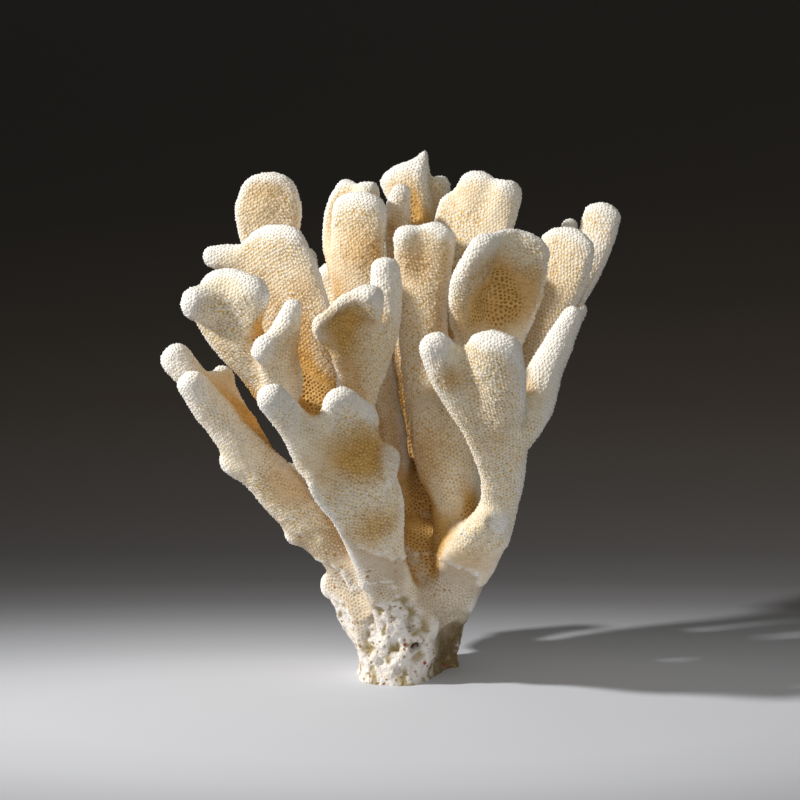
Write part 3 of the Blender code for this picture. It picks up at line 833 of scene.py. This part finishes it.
def blend_colours(tree, share, first, second, kind="MIX"):
    node = add(tree, "ShaderNodeMix", data_type="RGBA", blend_type=kind)
    feed(tree, node.inputs["Factor"], share)
    feed(tree, node.inputs["A"], first)
    feed(tree, node.inputs["B"], second)
    return node.outputs["Result"]


def rise(tree, value, low, high):
    """0 below low, 1 above high and a soft rise between them."""
    node = add(tree, "ShaderNodeMapRange", interpolation_type="SMOOTHSTEP")
    for name, number in (("Value", value), ("From Min", low), ("From Max", high)):
        feed(tree, node.inputs[name], number)
    return node.outputs["Result"]


def clouds(tree, place, size, detail=3.0):
    """A noise with lumps of this size, in metres."""
    node = add(tree, "ShaderNodeTexNoise")
    feed(tree, node.inputs["Vector"], place)
    feed(tree, node.inputs["Scale"], 1 / size)
    feed(tree, node.inputs["Detail"], detail)
    return node.outputs["Fac"]


def mask_of(tree, name):
    """A mask that the mesh carries."""
    return add(tree, "ShaderNodeAttribute", attribute_name=name).outputs["Fac"]


def group_with(name, inputs, outputs):
    """An empty node group, its tree and its inner input and output nodes."""
    tree = bpy.data.node_groups.new(name, "ShaderNodeTree")
    for label, kind, value in inputs:
        socket = tree.interface.new_socket(label, in_out="INPUT", socket_type=kind)
        if value is not None:
            socket.default_value = value
    for label, kind in outputs:
        tree.interface.new_socket(label, in_out="OUTPUT", socket_type=kind)
    return tree, add(tree, "NodeGroupInput").outputs, add(tree, "NodeGroupOutput").inputs


def use_group(tree, group, **values):
    """Places a group in a material, with its own values. A space in a name is written as _."""
    node = add(tree, "ShaderNodeGroup", node_tree=group)
    for label, value in values.items():
        feed(tree, node.inputs[label.replace("_", " ")], value)
    return node.outputs


FLOAT, COLOUR, VECTOR = "NodeSocketFloat", "NodeSocketColor", "NodeSocketVector"
WHITE = (0.93, 0.915, 0.88, 1)

# %% The cup skin group
SKIN_MASKS = ("Cup", "Bowl", "Hood", "Pit", "Tip", "Amber", "Worn", "Chance", "Calm", "Lip")
# Multiplied into the bowl bottoms under the amber mask: painted shade.
BOWL_PAINTED_SHADE = (0.72, 0.62, 0.55)


def cup_skin_group():
    """Grains on open faces and bowls in shelter, white at the tips, with painted amber shade in the
    hollows and painted shade in the pits and bowl bottoms.
    """
    colours = ("Grain", "Ground", "Old grain", "Old ground", "Tip grain", "Tip ground", "Worn grain",
               "Worn ground", "Pit colour", "Old pit colour")
    tree, given, out = group_with(
        "cup skin",
        [(label, FLOAT, 0) for label in SKIN_MASKS] + [(label, COLOUR, WHITE) for label in colours],
        [("Colour", COLOUR), ("Height", FLOAT)],
    )
    grain, ground = given["Grain"], given["Ground"]
    # Where the amber mask is high, grain, ground and pit take their painted-shade copies.
    for mask, kind in (("Amber", "Old"), ("Worn", "Worn"), ("Tip", "Tip")):
        grain = blend_colours(tree, given[mask], grain, given[kind + " grain"])
        ground = blend_colours(tree, given[mask], ground, given[kind + " ground"])
    fade = line(tree, given["Calm"], -0.35, 1.0)
    fade = times(tree, fade, line(tree, given["Worn"], -0.3, 1.0))
    dot = times(tree, rise(tree, given["Cup"], 0.22, 0.66), fade)
    dot = times(tree, dot, line(tree, given["Chance"], 0.5, 0.6), clamp=True)
    # Raised grains are painted paler than the ground: partly own tone, partly painted light on the
    # grains and painted shade between them.
    raised = blend_colours(tree, dot, ground, grain)
    # The pits under the hoods are painted golden and darker: partly the cups' own tone, partly painted
    # shade in the recess.
    gold = blend_colours(tree, given["Amber"], given["Pit colour"], given["Old pit colour"])
    deep = times(tree, rise(tree, given["Pit"], 0.25, 0.65), times(tree, fade, fade))
    deep = times(tree, deep, line(tree, given["Tip"], -0.8, 1.0))
    deep = times(tree, deep, line(tree, given["Amber"], -0.5, 1.0))
    raised = blend_colours(tree, deep, raised, gold)
    # In bowls the hood walls are painted paler and the bottoms darker, darkest under the amber mask:
    # partly own tone, partly painted shade in the recess.
    wall = blend_colours(tree, line(tree, given["Hood"], 0.5, 0.45), ground, grain)
    bottom = rise(tree, given["Cup"], 0.2, 0.75)
    bottom = times(tree, bottom, line(tree, given["Chance"], 0.7, 0.5), clamp=True)
    dark = blend_colours(tree, given["Amber"], gold, BOWL_PAINTED_SHADE, "MULTIPLY")
    sunk = blend_colours(tree, bottom, wall, blend_colours(tree, given["Worn"], dark, ground))
    colour = blend_colours(tree, given["Bowl"], raised, sunk)
    feed(tree, out["Colour"], blend_colours(tree, given["Lip"], colour, given["Tip grain"]))
    swing = line(tree, given["Bowl"], -2.0, 1.0)
    knob = times(tree, rise(tree, given["Cup"], 0.2, 0.75), fade)
    feed(tree, out["Height"], times(tree, knob, swing))
    return tree


cup_skin = cup_skin_group()
print("built", cup_skin.name)

# %% The speck and stain groups
WOBBLE_SCALE = 900.0
WOBBLE_DEPTH = 1.2 * MM


def speck_group():
    """Small scattered spots: bored pits, red algae and grit."""
    tree, given, out = group_with(
        "specks",
        [("Place", VECTOR, None), ("Spacing", FLOAT, 0.004), ("Share", FLOAT, 0.3),
         ("Radius", FLOAT, 0.2)],
        [("Mask", FLOAT)],
    )
    wobble = add(tree, "ShaderNodeTexNoise")
    feed(tree, wobble.inputs["Vector"], given["Place"])
    feed(tree, wobble.inputs["Scale"], WOBBLE_SCALE)
    shifted = add(tree, "ShaderNodeVectorMath", operation="MULTIPLY_ADD")
    feed(tree, shifted.inputs[0], wobble.outputs["Color"])
    shifted.inputs[1].default_value = (WOBBLE_DEPTH,) * 3
    feed(tree, shifted.inputs[2], given["Place"])
    cells = add(tree, "ShaderNodeTexVoronoi")
    feed(tree, cells.inputs["Vector"], shifted.outputs[0])
    feed(tree, cells.inputs["Scale"], maths(tree, "DIVIDE", 1.0, given["Spacing"]))
    part = add(tree, "ShaderNodeSeparateColor")
    feed(tree, part.inputs[0], cells.outputs["Color"])
    picked = maths(tree, "LESS_THAN", part.outputs[0], given["Share"])
    size = times(tree, given["Radius"], maths(tree, "ADD", part.outputs[1], 0.5))
    inner = times(tree, size, 0.6)
    near = maths(tree, "SUBTRACT", 1.0, rise(tree, cells.outputs["Distance"], inner, size))
    feed(tree, out["Mask"], times(tree, near, picked))
    return tree


def stain_group():
    """Soft patches with broken edges."""
    tree, given, out = group_with(
        "stains",
        [("Place", VECTOR, None), ("Size", FLOAT, 0.01), ("Cover", FLOAT, 0.4), ("Edge", FLOAT, 0.1)],
        [("Mask", FLOAT)],
    )
    pattern = add(tree, "ShaderNodeTexNoise")
    feed(tree, pattern.inputs["Vector"], given["Place"])
    feed(tree, pattern.inputs["Scale"], maths(tree, "DIVIDE", 1.0, given["Size"]))
    feed(tree, pattern.inputs["Detail"], 6.0)
    low = maths(tree, "SUBTRACT", 0.78, times(tree, given["Cover"], 0.5))
    high = maths(tree, "ADD", low, given["Edge"])
    feed(tree, out["Mask"], rise(tree, pattern.outputs["Fac"], low, high))
    return tree


specks, stains = speck_group(), stain_group()
print("built", specks.name, "and", stains.name)

# %% [markdown]
# ## The coral's own material
# Limestone that living tissue built is matt and a little uneven: cream grains on tan ground and white
# tips. The grains are painted paler than the ground and the pits and bowl bottoms darker, partly the
# skin's own tone and partly painted light and shade on the relief, and the amber in the hollows is
# painted shade. The relief is in the mesh, and the bump only rounds each grain and adds the roughness
# that is finer than the mesh. The same material serves every branch and, with the rock colours laid
# over it, the trunk.

# %% The coral's colours
# The colours for the amber mask are painted-shade copies of the plain grain, ground and pit colours.
SKIN_COLOURS = {
    "Grain": (0.97, 0.95, 0.90), "Ground": (0.93, 0.82, 0.62),
    "Old_grain": (0.82, 0.57, 0.24), "Old_ground": (0.64, 0.37, 0.09),
    "Worn_grain": (0.89, 0.84, 0.76), "Worn_ground": (0.55, 0.42, 0.26),
    "Tip_grain": (0.97, 0.96, 0.945), "Tip_ground": (0.93, 0.905, 0.86),
    "Pit_colour": (0.78, 0.52, 0.16), "Old_pit_colour": (0.50, 0.26, 0.05),
}
DUST = (0.62, 0.56, 0.42)
STREAK = (0.72, 0.62, 0.46)
GRIT = (0.46, 0.27, 0.11)
STREAK_SQUASH = 3.0
STREAK_SIZE = 2.6 * MM
GRAIN_SIZE = 0.55 * MM
BUMP_DEPTH = 0.35 * MM


def matt_stone(name):
    """A new material with its tree, shader and place node."""
    material = bpy.data.materials.new(name)
    material.use_nodes = True
    tree = material.node_tree
    shader = tree.nodes["Principled BSDF"]
    shader.inputs["Roughness"].default_value = 0.82
    shader.inputs["Specular IOR Level"].default_value = 0.35
    place = add(tree, "ShaderNodeTexCoord").outputs["Object"]
    return material, tree, shader, place


def skin_layers(tree, place):
    """The living skin's colour and height."""
    masks = {label: mask_of(tree, label.lower()) for label in SKIN_MASKS}
    skin = use_group(tree, cup_skin, **masks, **SKIN_COLOURS)
    dust = use_group(tree, stains, Place=place, Size=22 * MM, Cover=0.5, Edge=0.25)["Mask"]
    dust = times(tree, dust, maths(tree, "SUBTRACT", 0.5, mask_of(tree, "tip"), clamp=True))
    colour = blend_colours(tree, dust, skin["Colour"], DUST, "MULTIPLY")
    squashed = add(tree, "ShaderNodeMapping")
    squashed.inputs["Scale"].default_value = (1, 1, STREAK_SQUASH)
    feed(tree, squashed.inputs["Vector"], place)
    streak = rise(tree, clouds(tree, squashed.outputs[0], STREAK_SIZE, 5.0), 0.46, 0.62)
    # Streaks are a real grain pattern, but they are laid on more strongly under the amber mask, which
    # is painted shade.
    share = line(tree, mask_of(tree, "amber"), 0.3, 0.24)
    share = line(tree, mask_of(tree, "tip"), -0.3, share)
    streak = times(tree, streak, share)
    colour = blend_colours(tree, streak, colour, STREAK, "MULTIPLY")
    grit = use_group(tree, specks, Place=place, Spacing=3.6 * MM, Share=0.6, Radius=0.2)["Mask"]
    grit = times(tree, grit, mask_of(tree, "worn"))
    colour = blend_colours(tree, grit, colour, GRIT)
    return colour, skin["Height"]


def finish_stone(tree, shader, place, colour, height):
    """Joins the layers to the shader, with a fine grain in the bump."""
    grain = clouds(tree, place, GRAIN_SIZE, 3.0)
    bump = add(tree, "ShaderNodeBump")
    bump.inputs["Strength"].default_value = 0.75
    bump.inputs["Distance"].default_value = BUMP_DEPTH
    feed(tree, bump.inputs["Height"], line(tree, grain, 1.1, height))
    feed(tree, shader.inputs["Base Color"], colour)
    feed(tree, shader.inputs["Normal"], bump.outputs["Normal"])


def coral_material():
    material, tree, shader, place = matt_stone("coral skeleton")
    colour, height = skin_layers(tree, place)
    finish_stone(tree, shader, place, colour, height)
    return material


# %% The foot's own colours
CHALK_DARK, CHALK_PALE = (0.72, 0.66, 0.60), (0.95, 0.925, 0.905)
OLIVE_FILM = (0.40, 0.32, 0.16)
# Painted shade for the right side of the foot, which faces away from the key light.
RIGHT_SIDE_PAINTED_SHADE = (0.22, 0.155, 0.07)
RIGHT_SHADE_FROM, RIGHT_SHADE_FULL = 9 * MM, 15 * MM
GRIME = (0.50, 0.40, 0.26)
BROWN_SPECK = (0.42, 0.27, 0.11)
RED_SPECK = (0.45, 0.05, 0.04)
# Near black for the deepest holes: painted shade.
BORE_PAINTED_SHADE = (0.10, 0.06, 0.03)


def foot_material():
    """Coral above, bored and stained reef rock below, with painted shade on its right side and in the
    deepest holes.
    """
    material, tree, shader, place = matt_stone("reef rock foot")
    colour, height = skin_layers(tree, place)
    rock = mask_of(tree, "rock")
    chalk = blend_colours(tree, clouds(tree, place, 3 * MM, 5.0), CHALK_DARK, CHALK_PALE)
    olive = use_group(tree, stains, Place=place, Size=9 * MM, Cover=0.85, Edge=0.16)["Mask"]
    olive = times(tree, olive, rise(tree, mask_of(tree, "sunk"), 0.1, 0.5))
    chalk = blend_colours(tree, olive, chalk, OLIVE_FILM)
    part = add(tree, "ShaderNodeSeparateXYZ")
    feed(tree, part.inputs[0], place)
    # Painted shade: the right side of the foot, from x = 9 mm on, is painted dark brown in a broken
    # stain pattern.
    right = use_group(tree, stains, Place=place, Size=5 * MM, Cover=1.05, Edge=0.16)["Mask"]
    right = times(tree, right, rise(tree, part.outputs["X"], RIGHT_SHADE_FROM, RIGHT_SHADE_FULL))
    chalk = blend_colours(tree, right, chalk, RIGHT_SIDE_PAINTED_SHADE)
    grime = use_group(tree, stains, Place=place, Size=2.4 * MM, Cover=0.5, Edge=0.12)["Mask"]
    chalk = blend_colours(tree, times(tree, grime, 0.45), chalk, GRIME)
    brown = use_group(tree, specks, Place=place, Spacing=2.3 * MM, Share=0.8, Radius=0.26)["Mask"]
    chalk = blend_colours(tree, brown, chalk, BROWN_SPECK)
    red = use_group(tree, specks, Place=place, Spacing=4.0 * MM, Share=0.3, Radius=0.19)["Mask"]
    chalk = blend_colours(tree, red, chalk, RED_SPECK)
    # The deepest holes are painted near black: painted shade in them.
    chalk = blend_colours(tree, mask_of(tree, "hole"), chalk, BORE_PAINTED_SHADE)
    colour = blend_colours(tree, rock, colour, chalk)
    rough = times(tree, clouds(tree, place, 1.8 * MM, 7.0), 4.5)
    pits = times(tree, brown, -1.2)
    crags = times(tree, maths(tree, "ADD", rough, pits), rock)
    smooth = times(tree, height, maths(tree, "SUBTRACT", 1.0, rock))
    finish_stone(tree, shader, place, colour, maths(tree, "ADD", crags, smooth))
    return material


coral, foot = coral_material(), foot_material()
for name, piece in pieces.items():
    piece.data.materials.append(foot if name == "trunk" else coral)
print("finished", len(pieces), "pieces")

# %% [markdown]
# ## Floor, light and camera
# The coral stands on a plain pale floor whose painted tone darkens with distance: a painted pool of
# light that fades into the dark backdrop, so one plain disc gives both the pale foreground and the
# dark backdrop from any side. The key light is a small lamp high on the left and a little in front. It
# leaves the right sides in shade and throws one long shadow with crisp edges to the right. A wide weak
# lamp in front and an even sky fill the shade. The picture is shown without a film curve, so the amber
# of the shade stays as strong as it is in daylight.

# %% Floor
FLOOR_RADIUS = 14.0
FLOOR_MIDDLE = -0.05
FLOOR_STRETCH = 3.0
FLOOR_FRONT = 0.7
# The tones are a painted pool of light: pale near the coral, falling to the dark backdrop far away.
FLOOR_PAINTED_LIGHT = (
    (0.0, 0.64), (0.05, 0.64), (0.071, 0.59), (0.096, 0.46), (0.121, 0.35), (0.148, 0.23),
    (0.175, 0.14), (0.214, 0.084), (0.276, 0.055), (0.39, 0.040), (0.69, 0.023), (1.13, 0.0137),
    (1.83, 0.0094),
)
FLOOR_NEAR_TINT = (0.94, 0.985, 1.10)
FLOOR_FAR_TINT = (1.30, 1.02, 0.82)
FAR_FROM, FAR_FADE = 0.12, 0.65
# Painted light: the floor is painted lighter on the right.
RIGHT_PAINTED_LIGHT = 0.34
RIGHT_WIDTH, RIGHT_SPREAD = 0.16, 0.11
RIGHT_LIMIT = 1.2
# Painted falloff: the far floor is painted darker still.
DEEP_PAINTED_FALLOFF = 0.42


def pale_floor():
    """A disc whose tone falls away behind the coral, more slowly to the sides and the front, and stays
    a little lighter on the right. The fall of tone is a painted pool of light, and the lighter right
    side is painted light."""
    bpy.ops.mesh.primitive_circle_add(vertices=96, radius=FLOOR_RADIUS, fill_type="NGON")
    floor = bpy.context.object
    floor.name = "floor"
    material = bpy.data.materials.new("floor paper")
    material.use_nodes = True
    tree = material.node_tree
    shader = tree.nodes["Principled BSDF"]
    shader.inputs["Roughness"].default_value = 0.9
    shader.inputs["Specular IOR Level"].default_value = 0.1
    part = add(tree, "ShaderNodeSeparateXYZ")
    feed(tree, part.inputs[0], add(tree, "ShaderNodeTexCoord").outputs["Object"])
    side = maths(tree, "DIVIDE", part.outputs["X"], FLOOR_STRETCH)
    back = maths(tree, "SUBTRACT", part.outputs["Y"], FLOOR_MIDDLE)
    back = maths(tree, "MAXIMUM", back, times(tree, back, -FLOOR_FRONT))
    square = maths(tree, "ADD", times(tree, side, side), times(tree, back, back))
    reach = maths(tree, "DIVIDE", maths(tree, "SQRT", square), FLOOR_PAINTED_LIGHT[-1][0], clamp=True)
    fade = add(tree, "ShaderNodeValToRGB")
    stops = fade.color_ramp.elements
    while len(stops) < len(FLOOR_PAINTED_LIGHT):
        stops.new(0.5)
    for stop, (away, tone) in zip(stops, FLOOR_PAINTED_LIGHT):
        stop.position = away / FLOOR_PAINTED_LIGHT[-1][0]
        far = min(max(away - FAR_FROM, 0) / FAR_FADE, 1)
        tint = [near * (1 - far) + deep * far for near, deep in zip(FLOOR_NEAR_TINT, FLOOR_FAR_TINT)]
        stop.color = (*(tone * share for share in tint), 1)
    feed(tree, fade.inputs["Fac"], reach)
    behind = maths(tree, "MAXIMUM", part.outputs["Y"], 0.0)
    width = line(tree, behind, RIGHT_SPREAD, RIGHT_WIDTH)
    right = maths(tree, "DIVIDE", part.outputs["X"], width)
    right = maths(tree, "MINIMUM", maths(tree, "MAXIMUM", right, -RIGHT_LIMIT), RIGHT_LIMIT)
    right = times(tree, right, rise(tree, part.outputs["Y"], -0.1, 0.25))
    gain = line(tree, right, RIGHT_PAINTED_LIGHT, 1.0)
    deep = rise(tree, part.outputs["Y"], 1.0, 7.0)
    gain = times(tree, gain, line(tree, deep, -DEEP_PAINTED_FALLOFF, 1.0))
    tone = add(tree, "ShaderNodeVectorMath", operation="SCALE")
    feed(tree, tone.inputs[0], fade.outputs["Color"])
    feed(tree, tone.inputs["Scale"], gain)
    feed(tree, shader.inputs["Base Color"], tone.outputs[0])
    floor.data.materials.append(material)
    return floor


pale_floor()

# %% Lights
MIDDLE = (0, 0, 0.11)
KEY_PLACE, KEY_SIZE, KEY_POWER, KEY_COLOUR = (-1.55, -0.28, 1.05), 0.10, 43, (1.0, 0.96, 0.90)
FILL_PLACE, FILL_SIZE, FILL_POWER, FILL_COLOUR = (0.2, -2.0, 0.55), 1.4, 6.8, (1.0, 0.965, 0.90)
SKY_COLOUR = (0.51, 0.487, 0.435, 1)
SKY_STRENGTH = 0.48


def square_lamp(name, place, size, power, colour):
    """A square lamp that looks at the middle of the coral."""
    lamp = bpy.data.lights.new(name, "AREA")
    lamp.size = size
    lamp.energy = power
    lamp.color = colour
    holder = bpy.data.objects.new(name, lamp)
    holder.location = place
    holder.rotation_euler = (Vector(MIDDLE) - Vector(place)).to_track_quat("-Z", "Y").to_euler()
    bpy.context.scene.collection.objects.link(holder)


square_lamp("key light", KEY_PLACE, KEY_SIZE, KEY_POWER, KEY_COLOUR)
square_lamp("front fill", FILL_PLACE, FILL_SIZE, FILL_POWER, FILL_COLOUR)
world = bpy.data.worlds.new("studio")
world.use_nodes = True
sky = world.node_tree.nodes["Background"].inputs
sky["Color"].default_value = SKY_COLOUR
sky["Strength"].default_value = SKY_STRENGTH
bpy.context.scene.world = world
bpy.context.scene.view_settings.view_transform = "Standard"
print("lights set")

# %% Camera
CAMERA_DISTANCE = 1.2
CAMERA_TILT = math.radians(10)
CAMERA_AIM = Vector((-0.002, 0, 0.113))
LENS = 135

camera = bpy.data.objects.new("camera", bpy.data.cameras.new("camera"))
camera.data.lens = LENS
camera.data.clip_end = 100
away = Vector((0, -math.cos(CAMERA_TILT), math.sin(CAMERA_TILT)))
camera.location = CAMERA_AIM + CAMERA_DISTANCE * away
camera.rotation_euler = (CAMERA_AIM - camera.location).to_track_quat("-Z", "Y").to_euler()
bpy.context.scene.collection.objects.link(camera)
bpy.context.scene.camera = camera
print("camera at", tuple(round(value, 3) for value in camera.location))
